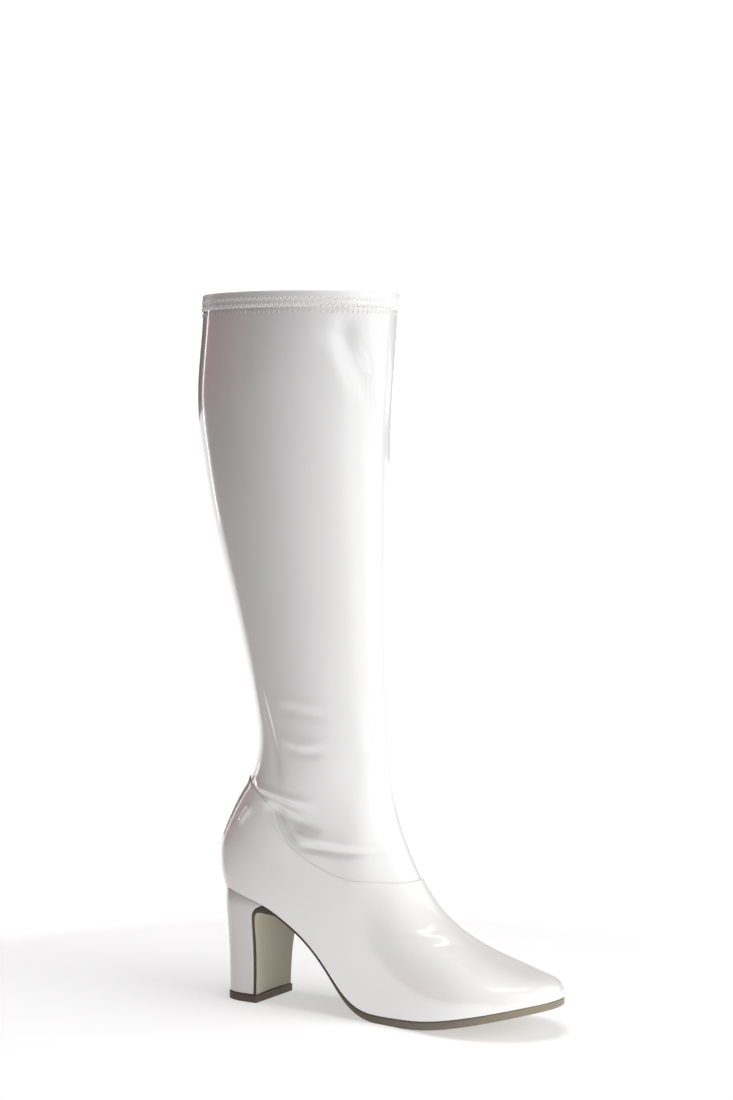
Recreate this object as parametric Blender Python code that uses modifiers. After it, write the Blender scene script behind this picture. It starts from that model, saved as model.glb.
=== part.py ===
"""Go go boot for the right foot: a knee-high patent boot on a three inch block heel.

Metres, +Z up, +X to the toe, -Y to the boot's outer side. The origin is the middle of the heel's
ground face, on the floor that the boot stands on. Lengths along the foot are measured from the
heel's back, and the last step of each shape moves them to that origin.
"""

import math

import bmesh
import bpy
import numpy as np

# Foot
FOOT_LENGTH = 0.2405  # heel back to toe tip where the upper meets the sole
BALL_BREADTH = 0.076
SEAT_BREADTH = 0.057
SEAT_HEIGHT = 0.074  # floor to the underside of the sole at the heel's back
TOE_SPRING = 0.0182  # floor to the underside of the sole at the toe tip
ANKLE_RISE = 0.066  # from the seat to where the leg begins

# Leg
BOOT_HEIGHT = 0.458
COLLAR_DEPTH = 0.1315
COLLAR_BREADTH = 0.111

# Walls and steps of the upper
UPPER_WALL = 0.0021
SHAFT_WALL = 0.0015
LAP_STEP = 0.0008  # how far the foot part stands out past the shaft that it laps
HEM_HEIGHT = 0.0105
HEM_STEP = 0.0005

# Sole
FOREPART_THICKNESS = 0.0055
SHANK_THICKNESS = 0.002
SOLE_EDGE = 0.0006  # how far the forepart stands out past the feather line
FLAP_THICKNESS = 0.0018  # the sole's tail that runs down the heel's breast
ARCH_FILLET = 0.0032  # extra depth where the shank turns down into the breast
ARCH_RUN = 0.011  # length over which that depth fades out
INSOLE_THICKNESS = 0.002

# Heel
HEEL_SETBACK = 0.0057  # heel back to the rear of the heel's ground face
BASE_DEPTH = 0.0263
BASE_BREADTH = 0.042
BREAST_LENGTH = 0.042  # heel back to the front edge of the heel's top
BREAST_HOLLOW = 0.0008
TOP_PIECE_THICKNESS = 0.005
TOP_PIECE_EDGE = 0.0008  # how far the top piece stands out past the heel block

GAP = 0.0003  # clearance between pieces that meet
ORIGIN = HEEL_SETBACK + BASE_DEPTH / 2

# Forms that the tables below don't hold
WAIST_TURNS = (60, 110)  # where the feather line's breadths pass from the seat's to the ball's
SIDE_SWELL = 0.07  # how far the foot's sides bulge past the feather line, as a share of it
ARCH_POWER = 2.0  # roundness of the foot's arch over the instep
TOE_POWER = 2.6  # and over the toe, where it is squarer
TOE_POWER_START = 0.6  # share of FOOT_LENGTH from which it changes
HUG_END = 0.5  # level above which the levels no longer follow the sole
LEG_BLEND = (0.24, 0.52)  # levels between which the foot's sections become the leg's
EDGE_RUN = (0.25, 0.45)  # shares of FOOT_LENGTH between which SOLE_EDGE grows to its full size
TOE_TURNS = (150, 180)  # turns between which SOLE_EDGE also carries the sole forward
FLAP_FLAT = 0.8  # rise above which the tail's hollow fades out

# Counts of the mesh
TURNS = 64  # points round the upper
RIDGE_SAMPLES = 8000
UPPER_BANDS = 12
SHAFT_BANDS = 13
HEEL_TURNS = 10  # points along each side of the heel
ACROSS = 5  # points across the sole

ANKLE_HEIGHT = SEAT_HEIGHT + SHANK_THICKNESS + ANKLE_RISE
LEG_RISE = BOOT_HEIGHT - ANKLE_HEIGHT


def table(columns, rows):
    """The rows as a dictionary with an array for each named column."""
    return dict(zip(columns.split(), np.array(rows, float).T))


# Underside of the sole. along: share of FOOT_LENGTH. heel, toe: shares of SEAT_HEIGHT and TOE_SPRING.
SOLE_LINE = table(
    "along heel toe",
    [
        (0.000, 1.000, 0.000),
        (0.080, 0.953, 0.000),
        (0.139, 0.903, 0.000),
        (0.189, 0.849, 0.000),
        (0.248, 0.743, 0.000),
        (0.298, 0.628, 0.000),
        (0.342, 0.493, 0.000),
        (0.382, 0.338, 0.000),
        (0.416, 0.196, 0.000),
        (0.451, 0.086, 0.000),
        (0.486, 0.026, 0.000),
        (0.525, 0.000, 0.000),
        (0.566, -0.004, -0.004),
        (0.615, 0.000, 0.000),
        (0.675, 0.000, 0.071),
        (0.743, 0.000, 0.231),
        (0.813, 0.000, 0.440),
        (0.893, 0.000, 0.692),
        (0.953, 0.000, 0.879),
        (1.000, 0.000, 1.000),
    ],
)

# Sole thickness. full: 0 for SHANK_THICKNESS to 1 for FOREPART_THICKNESS.
SOLE_BODY = table(
    "along full",
    [
        (0.00, 0.00),
        (0.19, 0.00),
        (0.30, 0.09),
        (0.42, 0.46),
        (0.53, 0.91),
        (0.62, 1.00),
        (0.82, 0.94),
        (1.00, 0.80),
    ],
)

# Feather line from above. turn: 0 at the heel's back, 180 at the toe tip. outer, inner: half
# breadths as shares of SEAT_BREADTH behind the waist and of BALL_BREADTH before it. The rows
# outside 0 to 180 only give the curve its direction at the ends.
FEATHER = table(
    "turn outer inner",
    [
        (-20, -0.316, -0.316),
        (-10, -0.167, -0.167),
        (0, 0.000, 0.000),
        (10, 0.167, 0.167),
        (20, 0.316, 0.316),
        (30, 0.425, 0.421),
        (40, 0.484, 0.477),
        (60, 0.502, 0.481),
        (80, 0.440, 0.396),
        (95, 0.410, 0.345),
        (110, 0.461, 0.408),
        (125, 0.508, 0.489),
        (140, 0.438, 0.463),
        (155, 0.297, 0.320),
        (168, 0.149, 0.158),
        (180, 0.000, 0.000),
        (192, -0.149, -0.158),
    ],
)

# Ridge of the foot from the toe tip up to the ankle. rise: share of the way from the feather
# line to the ankle's height.
RIDGE = table(
    "along rise",
    [
        (1.000, 0.000),
        (1.002, 0.038),
        (0.979, 0.091),
        (0.926, 0.147),
        (0.851, 0.218),
        (0.773, 0.295),
        (0.702, 0.380),
        (0.640, 0.478),
        (0.595, 0.583),
        (0.558, 0.701),
        (0.525, 0.836),
        (0.502, 0.993),
    ],
)

# Back of the heel from the seat up to the ankle. rise: share of ANKLE_RISE.
COUNTER = table(
    "along rise",
    [
        (0.000, 0.000),
        (-0.011, 0.121),
        (-0.016, 0.273),
        (-0.011, 0.439),
        (0.011, 0.636),
        (0.041, 0.833),
        (0.074, 1.015),
    ],
)

# Leg. rise: share of LEG_RISE. middle: share of FOOT_LENGTH. depth, breadth: shares of the collar's.
LEG = table(
    "rise middle depth breadth",
    [
        (0.076, 0.298, 0.700, 0.649),
        (0.168, 0.288, 0.696, 0.676),
        (0.294, 0.267, 0.753, 0.739),
        (0.421, 0.245, 0.825, 0.820),
        (0.563, 0.222, 0.909, 0.919),
        (0.690, 0.208, 0.963, 0.982),
        (0.769, 0.203, 0.992, 1.000),
        (0.864, 0.210, 1.000, 1.009),
        (0.943, 0.219, 0.996, 1.000),
        (1.000, 0.224, 1.000, 1.000),
    ],
)

# Half breadth of the ankle below the leg's first row, as a share of the collar's breadth.
ANKLE = table(
    "rise breadth",
    [
        (-0.259, 0.595),
        (-0.133, 0.604),
        (-0.022, 0.622),
    ],
)

# Where each level of the skin meets the front and back lines: ridge and counter are shares of
# those lines up to the ankle, leg is the share of the lines above it.
LEVELS = table(
    "level ridge counter leg",
    [
        (0.00, 0.000, 0.000, 0.000),
        (0.06, 0.048, 0.096, 0.000),
        (0.12, 0.139, 0.192, 0.000),
        (0.18, 0.257, 0.288, 0.000),
        (0.24, 0.400, 0.390, 0.000),
        (0.30, 0.556, 0.507, 0.000),
        (0.36, 0.706, 0.644, 0.000),
        (0.42, 0.856, 0.820, 0.000),
        (0.48, 1.000, 1.000, 0.015),
        (0.56, 1.000, 1.000, 0.130),
        (0.66, 1.000, 1.000, 0.340),
        (0.80, 1.000, 1.000, 0.640),
        (1.00, 1.000, 1.000, 1.000),
    ],
)

# Seam where the foot part laps the shaft. level: height of the seam on the skin.
SEAM = table(
    "turn level",
    [
        (-20, 0.478),
        (0, 0.482),
        (20, 0.478),
        (45, 0.466),
        (60, 0.450),
        (72, 0.418),
        (81, 0.358),
        (90, 0.332),
        (105, 0.330),
        (130, 0.342),
        (155, 0.347),
        (180, 0.350),
        (205, 0.347),
    ],
)

# Heel block from its base up to the seat. back, breadth and front run from the base at 0 to the
# seat at 1, and seat says how far the outline has turned from the base's into the foot's.
HEEL = table(
    "rise back front breadth seat",
    [
        (0.00, 0.00, 0.00, 0.00, 0.00),
        (0.20, 0.01, 0.04, 0.02, 0.02),
        (0.40, 0.08, 0.09, 0.10, 0.08),
        (0.60, 0.22, 0.16, 0.28, 0.24),
        (0.80, 0.50, 0.25, 0.58, 0.55),
        (0.92, 0.80, 0.50, 0.85, 0.84),
        (1.00, 1.00, 1.00, 1.00, 1.00),
    ],
)
BASE_SQUARENESS = 3.6  # power of the base's rounded outline

# Tail of the sole down the breast. slope: degrees that its face has turned from facing forward
# towards facing down. depth: share of FLAP_THICKNESS.
FLAP = table(
    "rise slope depth",
    [
        (0.00, 0, 1.0),
        (0.20, 0, 1.0),
        (0.40, 1, 1.0),
        (0.60, 3, 1.0),
        (0.80, 10, 1.0),
        (0.92, 55, 1.4),
    ],
)


def curve(knots, values):
    """A natural cubic spline through the knots, held at its end values outside them."""
    x = np.asarray(knots, float)
    y = np.asarray(values, float)
    step = np.diff(x)
    last = len(x) - 1
    system = np.eye(last + 1)
    slopes = np.zeros(last + 1)
    for i in range(1, last):
        system[i, i - 1 : i + 2] = step[i - 1], 2 * (step[i - 1] + step[i]), step[i]
        slopes[i] = 6 * ((y[i + 1] - y[i]) / step[i] - (y[i] - y[i - 1]) / step[i - 1])
    bend = np.linalg.solve(system, slopes)

    def value(t):
        t = np.clip(np.asarray(t, float), x[0], x[-1])
        i = np.clip(np.searchsorted(x, t) - 1, 0, last - 1)
        before = x[i + 1] - t
        after = t - x[i]
        cubic = (bend[i] * before**3 + bend[i + 1] * after**3) / (6 * step[i])
        start = (y[i] / step[i] - bend[i] * step[i] / 6) * before
        end = (y[i + 1] / step[i] - bend[i + 1] * step[i] / 6) * after
        return cubic + start + end

    return value


def ease(t, start, end):
    """A smooth step from 0 at start to 1 at end."""
    t = np.clip((np.asarray(t, float) - start) / (end - start), 0, 1)
    return t * t * (3 - 2 * t)


def run_of(x, z):
    """Lengths along a line of points, and the line as two curves of that length."""
    length = np.concatenate([[0], np.cumsum(np.hypot(np.diff(x), np.diff(z)))])
    return length, curve(length, x), curve(length, z)


sole_line = curve(
    SOLE_LINE["along"] * FOOT_LENGTH,
    SOLE_LINE["heel"] * SEAT_HEIGHT + SOLE_LINE["toe"] * TOE_SPRING,
)
sole_body = curve(
    SOLE_BODY["along"] * FOOT_LENGTH,
    SHANK_THICKNESS + SOLE_BODY["full"] * (FOREPART_THICKNESS - SHANK_THICKNESS),
)


def feather_height(x):
    """Height at which the upper meets the sole."""
    x = np.clip(x, 0, FOOT_LENGTH)
    return sole_line(x) + sole_body(x)


feather_spread = SEAT_BREADTH + (BALL_BREADTH - SEAT_BREADTH) * ease(FEATHER["turn"], *WAIST_TURNS)
outer_half = curve(FEATHER["turn"], FEATHER["outer"] * feather_spread)
inner_half = curve(FEATHER["turn"], FEATHER["inner"] * feather_spread)


def turn_at(x):
    """Turn of the feather line, in degrees, at a length from the heel's back."""
    return np.degrees(np.arccos(np.clip(1 - 2 * x / FOOT_LENGTH, -1, 1)))


def feather_half(x, side):
    """Half breadth of the feather line. side is -1 on the outer side and 1 on the inner."""
    return np.where(side < 0, outer_half(turn_at(x)), inner_half(turn_at(x)))


def front_and_back():
    """Front and back lines of the whole skin as runs: the foot's points, then the leg's."""
    ridge_x = RIDGE["along"] * FOOT_LENGTH
    foot_z = feather_height(ridge_x)
    ridge_z = foot_z + RIDGE["rise"] * (ANKLE_HEIGHT - foot_z)
    counter_x = COUNTER["along"] * FOOT_LENGTH
    counter_z = SEAT_HEIGHT + SHANK_THICKNESS + COUNTER["rise"] * ANKLE_RISE
    middle = LEG["middle"] * FOOT_LENGTH
    half = LEG["depth"] * COLLAR_DEPTH / 2
    leg_z = ANKLE_HEIGHT + LEG["rise"] * LEG_RISE
    front = run_of(np.append(ridge_x, middle + half), np.append(ridge_z, leg_z))
    back = run_of(np.append(counter_x, middle - half), np.append(counter_z, leg_z))
    return front, back


(front_run, front_x, front_z), (back_run, back_x, back_z) = front_and_back()
ridge_end = front_run[len(RIDGE["rise"]) - 1]
counter_end = back_run[len(COUNTER["rise"]) - 1]
front_level = curve(
    LEVELS["level"], LEVELS["ridge"] * ridge_end + LEVELS["leg"] * (front_run[-1] - ridge_end)
)
back_level = curve(
    LEVELS["level"], LEVELS["counter"] * counter_end + LEVELS["leg"] * (back_run[-1] - counter_end)
)
leg_half = curve(
    ANKLE_HEIGHT + np.append(ANKLE["rise"], LEG["rise"]) * LEG_RISE,
    np.append(ANKLE["breadth"], LEG["breadth"]) * COLLAR_BREADTH / 2,
)
seam_level = curve(SEAM["turn"], SEAM["level"])


def ridge_height(x):
    """Height of the foot's ridge, for a length from the heel's back."""
    run = np.linspace(0, front_run[-1], RIDGE_SAMPLES)
    along = front_x(run)
    tip = np.argmax(along)
    end = tip + np.argmin(along[tip:]) + 1
    return np.interp(x, along[tip:end][::-1], front_z(run[tip:end][::-1]))


def foot_half(x, z, back, front, side):
    """Half breadth of the foot at a point of its side, under its rounded ridge. The feather
    line's outline follows the heel's swell, back, and the toe's, front, at that level."""
    half_way = FOOT_LENGTH / 2
    heel_swell = back * np.clip(1 - x / half_way, 0, 1)
    toe_swell = np.maximum(front - FOOT_LENGTH, 0) * np.clip(x / half_way - 1, 0, 1)
    along = np.clip(x - heel_swell - toe_swell, 0, FOOT_LENGTH)
    foot = feather_height(x)
    depth = np.maximum(ridge_height(x) - foot, GAP)
    up = np.clip((z - foot) / depth, 0, 1)
    toe = ease(x, TOE_POWER_START * FOOT_LENGTH, FOOT_LENGTH)
    power = ARCH_POWER + (TOE_POWER - ARCH_POWER) * toe
    swell = 1 + SIDE_SWELL * np.sin(math.pi * up)
    return feather_half(along, side) * swell * np.sqrt(1 - up**power)


def skin(level, turn):
    """The boot's outer skin. level is 0 at the sole and 1 at the collar, and turn goes round
    from the heel's back, 0, by the outer side and the front, pi, to the inner side."""
    level, turn = np.broadcast_arrays(level, np.mod(turn, 2 * math.pi))
    share = (1 - np.cos(turn)) / 2
    side = np.where(turn <= math.pi, -1.0, 1.0)
    back, back_up = back_x(back_level(level)), back_z(back_level(level))
    front, front_up = front_x(front_level(level)), front_z(front_level(level))
    x = back + (front - back) * share
    level_z = back_up + (front_up - back_up) * share
    back_rise = back_up - feather_height(back)
    front_rise = front_up - feather_height(front)
    sole_z = feather_height(x) + back_rise + (front_rise - back_rise) * share
    hug = 1 - ease(level, 0, HUG_END)
    z = hug * sole_z + (1 - hug) * level_z
    round_half = leg_half(z) * 2 * np.sqrt(np.clip(share * (1 - share), 0, 1))
    leg = ease(level, *LEG_BLEND)
    y = side * ((1 - leg) * foot_half(x, z, back, front, side) + leg * round_half)
    return np.stack([x - ORIGIN, y, z], -1)


def proud(level, turn, out):
    """The skin moved outwards along its normal by a distance."""
    step = 0.001
    turned = 0.02
    higher, lower = np.minimum(level + step, 1), np.maximum(level - step, 0)
    up = skin(higher, turn) - skin(lower, turn)
    round_it = skin(level, turn + turned) - skin(level, turn - turned)
    normal = np.cross(round_it, up)
    normal /= np.linalg.norm(normal, axis=-1, keepdims=True)
    return skin(level, turn) + normal * np.asarray(out)[..., None]


def seam_gap(turn):
    """GAP along the skin at the seam, as a step of level."""
    seam = seam_level(np.degrees(math.pi - abs(turn - math.pi)))
    small = 1e-4
    pace = np.linalg.norm(skin(seam + small, turn) - skin(seam, turn), axis=-1) / small
    return GAP / pace


def material(name, colour, roughness, coat=0.0):
    made = bpy.data.materials.new(name)
    made.use_nodes = True
    shader = made.node_tree.nodes["Principled BSDF"]
    shader.inputs["Base Color"].default_value = (*colour, 1)
    shader.inputs["Roughness"].default_value = roughness
    shader.inputs["Metallic"].default_value = 0.0
    shader.inputs["Coat Weight"].default_value = coat
    made.diffuse_color = (*colour, 1)
    return made


def add(name, mesh_data, finish):
    """An object of the boot, with its faces facing out and shaded smooth."""
    mesh = bmesh.new()
    mesh.from_mesh(mesh_data)
    bmesh.ops.remove_doubles(mesh, verts=mesh.verts, dist=1e-6)
    bmesh.ops.recalc_face_normals(mesh, faces=mesh.faces)
    mesh.to_mesh(mesh_data)
    mesh.free()
    mesh_data.shade_smooth()
    mesh_data.set_sharp_from_angle(angle=math.radians(35))
    mesh_data.materials.append(finish)
    made = bpy.data.objects.new(name, mesh_data)
    boot.objects.link(made)
    made.parent = root
    return made


def loft(name, rings, capped=True):
    """A mesh through closed rings of as many points each, with flat ends when it is capped."""
    rings = np.asarray(rings)
    count, size = rings.shape[:2]
    faces = []
    for i in range(count - 1):
        for j in range(size):
            k = (j + 1) % size
            low, high = i * size, (i + 1) * size
            faces.append((low + j, low + k, high + k, high + j))
    if capped:
        faces.append(tuple(range(size))[::-1])
        faces.append(tuple(range((count - 1) * size, count * size)))
    mesh = bpy.data.meshes.new(name)
    mesh.from_pydata(rings.reshape(-1, 3).tolist(), [], faces)
    return mesh


def shell(name, rings, wall, finish):
    """A hollow piece: an open loft with its wall laid inside it."""
    made = add(name, loft(name, rings, capped=False), finish)
    solidify = made.modifiers.new("Wall", "SOLIDIFY")
    solidify.thickness = wall
    solidify.offset = -1
    return made


def around():
    return np.arange(TURNS) * 2 * math.pi / TURNS


def seam_around():
    """The seam's level at each turn. The seam is the same on both sides."""
    turn = around()
    return seam_level(np.degrees(math.pi - abs(turn - math.pi)))


def make_upper():
    """The foot part, open underneath, from the sole up to its seam with the shaft."""
    turn = around()
    rings = []
    for share in np.linspace(0, 1, UPPER_BANDS + 1):
        rings.append(proud(seam_around() * share, turn, np.full(TURNS, LAP_STEP)))
    return shell("upper", rings, UPPER_WALL, patent)


def make_shaft():
    """The leg, open at both ends, with its hem as a step at the collar."""
    turn = around()
    start = seam_around() + seam_gap(turn)
    hem = np.interp(1 - HEM_HEIGHT / LEG_RISE, LEVELS["leg"], LEVELS["level"])
    step = HEM_STEP / LEG_RISE
    rows = [(start + (hem - start) * share, 0) for share in np.linspace(0, 1, SHAFT_BANDS)]
    rows += [(hem + step, HEM_STEP), (1, HEM_STEP)]
    rings = [
        proud(np.broadcast_to(level, TURNS), turn, np.full(TURNS, out)) for level, out in rows
    ]
    return shell("shaft", rings, SHAFT_WALL, patent)


def heel_curves():
    """The heel block's columns as curves of its rise."""
    return {name: curve(HEEL["rise"], HEEL[name]) for name in ("back", "front", "breadth", "seat")}


def heel_front(rise):
    """Length from the heel's back to the block's breast."""
    base = HEEL_SETBACK + BASE_DEPTH - FLAP_THICKNESS - GAP
    return base + heel_curves()["front"](rise) * (BREAST_LENGTH - base)


def heel_height(rise, x):
    """Height of a level of the block: flat at its base and following the seat at its top."""
    base = TOP_PIECE_THICKNESS + GAP
    return base + rise * (feather_height(x) - GAP - base)


def heel_half(rise, share, side):
    """Half breadth of the block, share of the way from its back to its breast."""
    columns = heel_curves()
    base = BASE_BREADTH / 2
    seat = float(feather_half(BREAST_LENGTH, side))
    reach = base + columns["breadth"](rise) * (seat - base)
    square = reach * (1 - (1 - share) ** BASE_SQUARENESS) ** (1 / BASE_SQUARENESS)
    seat_form = columns["seat"](rise)
    return (1 - seat_form) * square + seat_form * feather_half(share * BREAST_LENGTH, side)


def hollow(across):
    """How far the breast falls back, across from one edge, -1, to the other, 1."""
    return BREAST_HOLLOW * (1 - across**2)


def heel_ring(rise):
    """One level of the heel block: the outer side from back to breast, then the inner side."""
    shares = 1 - np.cos(np.linspace(0, math.pi / 2, HEEL_TURNS + 1))
    back = HEEL_SETBACK * (1 - heel_curves()["back"](rise))
    front = float(heel_front(rise))
    outer, inner = [
        [(back + (front - back) * share, side * heel_half(rise, share, side)) for share in shares]
        for side in (-1, 1)
    ]
    breast = [
        (front - hollow(across), np.interp(across, (-1, 1), (outer[-1][1], inner[-1][1])))
        for across in np.linspace(-1, 1, ACROSS)[1:-1]
    ]
    ring = outer + breast + inner[:0:-1]
    return [(x - ORIGIN, y, heel_height(rise, x)) for x, y in ring]


def make_heel_block():
    rows = HEEL["rise"]
    rises = sorted([*rows, *(rows[1:] + rows[:-1]) / 2])
    return add("heel_block", loft("heel_block", [heel_ring(rise) for rise in rises]), patent)


def make_top_piece():
    """The slab under the heel, with the outline of the block and the sole's tail together."""
    shares = 1 - np.cos(np.linspace(0, math.pi / 2, HEEL_TURNS + 1))
    scale = 1 + 2 * TOP_PIECE_EDGE / BASE_BREADTH
    half = BASE_BREADTH / 2 * (1 - (1 - shares) ** BASE_SQUARENESS) ** (1 / BASE_SQUARENESS)
    side = np.stack([shares * BASE_DEPTH - BASE_DEPTH / 2, -half], -1)
    outline = np.concatenate([side, side[:0:-1] * (1, -1)]) * scale
    rings = [
        np.column_stack([outline, np.full(len(outline), z)]) for z in (0, TOP_PIECE_THICKNESS)
    ]
    return add("heel_top_piece", loft("heel_top_piece", rings), top_rubber)


def sole_ring(high, low, half):
    """A section of the outsole: its lower line across, then its upper line back. high and low
    are functions of the place across, -1 to 1, and half gives the breadth of each side."""
    across = np.linspace(-1, 1, ACROSS)
    ring = []
    for line, places in ((low, across), (high, across[::-1])):
        for place in places:
            x, z = line(place)
            ring.append((x - ORIGIN, place * half(place), z))
    return ring


def flap_ring(rise, slope, depth):
    """A section of the sole's tail, which lies on the heel's breast."""
    front = float(heel_front(rise))
    turned = math.radians(slope)
    reach = FLAP_THICKNESS * depth
    fade = 1 - ease(rise, FLAP_FLAT, 1)

    def high(across):
        return front + GAP - fade * hollow(across), heel_height(rise, front)

    def low(across):
        x, z = high(across)
        return x + reach * math.cos(turned), z - reach * math.sin(turned)

    def half(across):
        return float(heel_half(rise, 1.0, -1 if across < 0 else 1))

    return sole_ring(high, low, half)


def forepart_ring(turn):
    """A section of the outsole under the foot, at a turn of the feather line in degrees."""
    x = FOOT_LENGTH * (1 - math.cos(math.radians(turn))) / 2
    edge = SOLE_EDGE * float(ease(x / FOOT_LENGTH, *EDGE_RUN))
    tip = edge * float(ease(turn, *TOE_TURNS))
    fillet = ARCH_FILLET * (1 - float(ease(x, BREAST_LENGTH, BREAST_LENGTH + ARCH_RUN)))
    top = float(feather_height(x)) - GAP
    bottom = max(float(sole_line(x)) - fillet, 0.0)

    def half(across):
        side = -1 if across < 0 else 1
        return float(feather_half(x, side)) + edge * math.sin(math.radians(turn))

    return sole_ring(lambda across: (x + tip, top), lambda across: (x + tip, bottom), half)


def make_outsole():
    """The sole from the toe to the heel, and its tail down the heel's breast."""
    rings = [flap_ring(*row) for row in zip(FLAP["rise"], FLAP["slope"], FLAP["depth"])]
    start = float(turn_at(BREAST_LENGTH + GAP))
    turns = [start] + [t for t in np.degrees(around()) if start + 2 < t < 180] + [180]
    rings += [forepart_ring(turn) for turn in turns]
    mesh = loft("outsole", rings, capped=False)
    size = 2 * ACROSS
    closed = bmesh.new()
    closed.from_mesh(mesh)
    closed.verts.ensure_lookup_table()
    closed.faces.new([closed.verts[i] for i in range(size)])
    closed.to_mesh(mesh)
    closed.free()
    return add("outsole", mesh, sole_leather)


def make_insole():
    """The board inside, clear of the upper's wall and just above the sole."""
    inset = UPPER_WALL - LAP_STEP + 2 * GAP
    rings = []
    for turn in np.degrees(around()):
        if turn > 180:
            continue
        x = FOOT_LENGTH * (1 - math.cos(math.radians(turn))) / 2
        slope = math.radians(turn)
        x_in = x + inset * math.cos(slope)
        low = float(feather_height(x))
        half = [max(float(feather_half(x, side)) - inset * math.sin(slope), 0) for side in (-1, 1)]
        flat = [(-half[0], low), (half[1], low), (half[1], low + INSOLE_THICKNESS)]
        flat.append((-half[0], low + INSOLE_THICKNESS))
        rings.append([(x_in - ORIGIN, y, z) for y, z in flat])
    return add("insole", loft("insole", rings, capped=False), insole_board)


for old in list(bpy.data.objects):
    bpy.data.objects.remove(old)

boot = bpy.data.collections.new("go_go_boot")
bpy.context.scene.collection.children.link(boot)
root = bpy.data.objects.new("go_go_boot", None)
boot.objects.link(root)

patent = material("patent_white", (0.86, 0.86, 0.85), 0.12, coat=1.0)
sole_leather = material("sole_taupe", (0.16, 0.12, 0.09), 0.45)
top_rubber = material("top_piece_brown", (0.07, 0.05, 0.04), 0.5)
insole_board = material("insole_grey", (0.55, 0.53, 0.5), 0.7)

make_upper()
make_shaft()
make_outsole()
make_heel_block()
make_top_piece()
make_insole()
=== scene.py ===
"""Looks of the go go boot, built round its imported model.

Metres, in the model's own frame: +Z up, +X to the toe, -Y to the boot's outer side, and the origin
under the middle of the heel. The fine shells use the sizes, tables and skin of the solids that they
stand for. They add creases, rounded edges, stitches and finishes, and soften the bend at the ankle.
"""

import math

import bmesh
import bpy
import numpy as np
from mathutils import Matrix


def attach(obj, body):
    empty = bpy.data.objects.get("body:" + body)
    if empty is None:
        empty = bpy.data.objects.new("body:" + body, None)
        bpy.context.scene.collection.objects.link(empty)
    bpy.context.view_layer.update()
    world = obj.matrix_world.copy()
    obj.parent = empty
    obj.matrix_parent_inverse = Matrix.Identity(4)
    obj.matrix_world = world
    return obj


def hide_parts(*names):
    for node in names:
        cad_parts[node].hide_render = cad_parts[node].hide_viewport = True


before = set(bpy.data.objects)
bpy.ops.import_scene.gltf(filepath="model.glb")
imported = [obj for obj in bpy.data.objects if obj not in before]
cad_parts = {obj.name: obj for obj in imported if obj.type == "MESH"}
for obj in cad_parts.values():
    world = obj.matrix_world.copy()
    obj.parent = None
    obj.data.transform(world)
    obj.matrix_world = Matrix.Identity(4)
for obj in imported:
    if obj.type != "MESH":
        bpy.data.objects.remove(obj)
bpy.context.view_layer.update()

# The photograph's camera
PHOTO_HEIGHT = 1100  # pixels
FOCAL_LENGTH = 2450  # pixels
CAMERA_TURN = 31.0  # degrees from the outer side round towards the toe
CAMERA_DISTANCE = 1.600
CAMERA_HEIGHT = 0.365
CAMERA_ASIDE = 0.0722  # to the camera's own right
CAMERA_TILT = 2.57  # degrees down
SENSOR = 36.0  # millimetres along the picture's long side
CLIP_RANGE = (0.05, 60.0)

# The studio's floor
FLOOR_TONE = 0.62
FLOOR_GLOW = 0.44
FLOOR_MIDDLE = (0.10, -0.04)
FLOOR_FADE = (0.34, 0.60)  # distances from its middle over which the far floor takes over
FLOOR_RADIUS = 25.0
FLOOR_CORNERS = 96

# Foot
FOOT_LENGTH = 0.2405
BALL_BREADTH = 0.076
SEAT_BREADTH = 0.057
SEAT_HEIGHT = 0.074
TOE_SPRING = 0.0182
ANKLE_RISE = 0.066

# Leg
BOOT_HEIGHT = 0.458
COLLAR_DEPTH = 0.1315
COLLAR_BREADTH = 0.111

# Walls and steps of the upper
UPPER_WALL = 0.0021
SHAFT_WALL = 0.0015
LAP_STEP = 0.0008
HEM_HEIGHT = 0.0105
HEM_STEP = 0.0005

# Sole
FOREPART_THICKNESS = 0.0055
SHANK_THICKNESS = 0.002
SOLE_EDGE = 0.0006
FLAP_THICKNESS = 0.0018
ARCH_FILLET = 0.0032
ARCH_RUN = 0.011

# Heel
HEEL_SETBACK = 0.0057
BASE_DEPTH = 0.0263
BASE_BREADTH = 0.042
BREAST_LENGTH = 0.042
BREAST_HOLLOW = 0.0008
TOP_PIECE_THICKNESS = 0.005
TOP_PIECE_EDGE = 0.0008

GAP = 0.0003
ORIGIN = HEEL_SETBACK + BASE_DEPTH / 2

# Forms that the tables below don't hold
WAIST_TURNS = (60, 110)
SIDE_SWELL = 0.07
ARCH_POWER = 2.0
TOE_POWER = 2.6
TOE_POWER_START = 0.6
HUG_END = 0.5
LEG_BLEND = (0.24, 0.52)
EDGE_RUN = (0.25, 0.45)
TOE_TURNS = (150, 180)
FLAP_FLAT = 0.8

# Softening of the bend at the front of the ankle: a mean of the foot's breadth over some shifts
ANKLE_SPREAD = 0.010
SPREAD_REACH = 3 * ANKLE_SPREAD  # from the ankle's front
SPREAD_SHIFTS = np.linspace(-1, 1, 9)
SPREAD_TAPER = np.cos(SPREAD_SHIFTS * 1.4)
SPREAD_WEIGHTS = list(zip(SPREAD_SHIFTS, SPREAD_TAPER / SPREAD_TAPER.sum()))

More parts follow.
